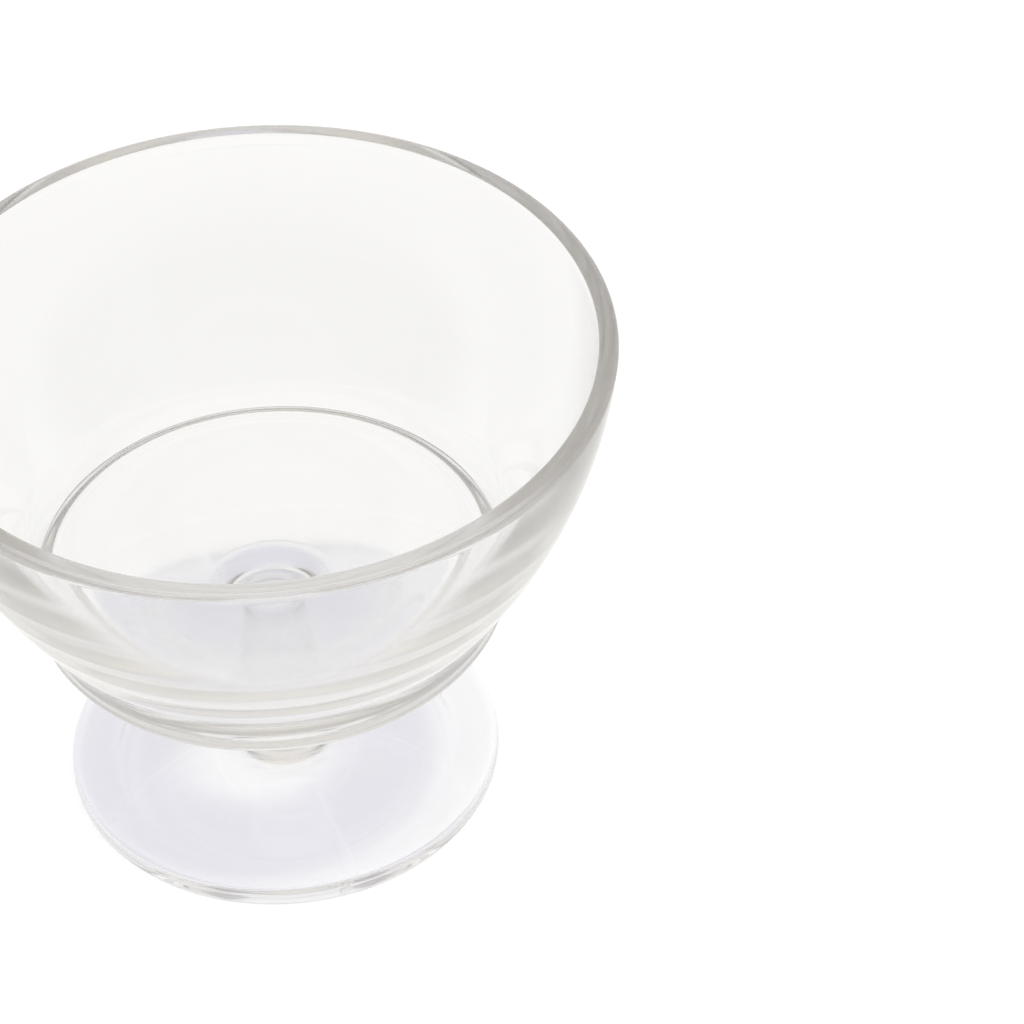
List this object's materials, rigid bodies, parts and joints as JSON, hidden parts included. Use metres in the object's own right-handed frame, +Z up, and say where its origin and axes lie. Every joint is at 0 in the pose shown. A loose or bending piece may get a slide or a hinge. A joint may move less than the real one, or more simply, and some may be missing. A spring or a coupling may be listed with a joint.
{
  "type": "footed dessert bowl",
  "caption": "Clear pressed-glass dessert bowl: a wide conical bowl with a thick lip on a short waisted stem and a round foot, for serving ice cream or fruit.",
  "frame": {"origin": "centre of the foot's resting ring, on the table", "axes": "+Z up along the axis of the bowl; the bowl is round, so X and Y are alike"},
  "size_m": [0.105, 0.105, 0.083],
  "materials": {
    "bowl_glass": "clear, fire polished",
    "stem_glass": "clear, fire polished",
    "foot_glass": "clear, fire polished, with a faint mould seam"
  },
  "bodies": {
    "root": {"bowl": "bowl_glass", "stem": "stem_glass", "foot": "foot_glass"}
  },
  "joints": []
}
